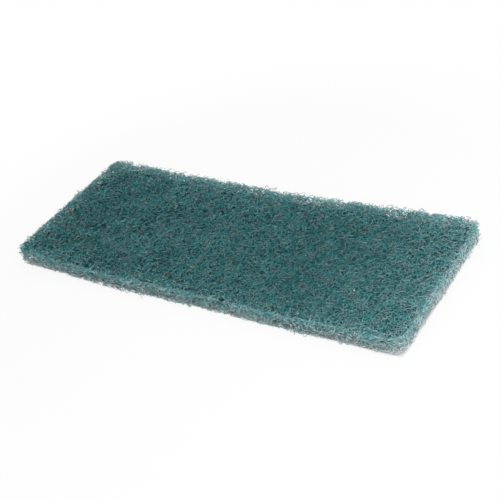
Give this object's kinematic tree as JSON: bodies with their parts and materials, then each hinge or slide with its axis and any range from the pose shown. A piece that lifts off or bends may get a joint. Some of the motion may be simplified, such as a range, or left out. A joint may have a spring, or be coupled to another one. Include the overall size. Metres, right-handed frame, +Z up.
{
  "type": "scouring pad",
  "caption": "Oblong scouring pad cut from a thick open mat of crimped nylon fibre bonded with green abrasive resin.",
  "frame": {"origin": "middle of the pad on the surface that it rests on", "axes": "+X along the pad's length, towards the end that curls up less, +Y across its width, +Z up through its thickness"},
  "size_m": [0.2508, 0.0998, 0.0125],
  "materials": {
    "abrasive_fibre": "matt open web of crimped nylon fibres coated in blue-green abrasive resin, paler and greyer towards its underside"
  },
  "bodies": {
    "root": {"pad": "abrasive_fibre"}
  },
  "joints": []
}
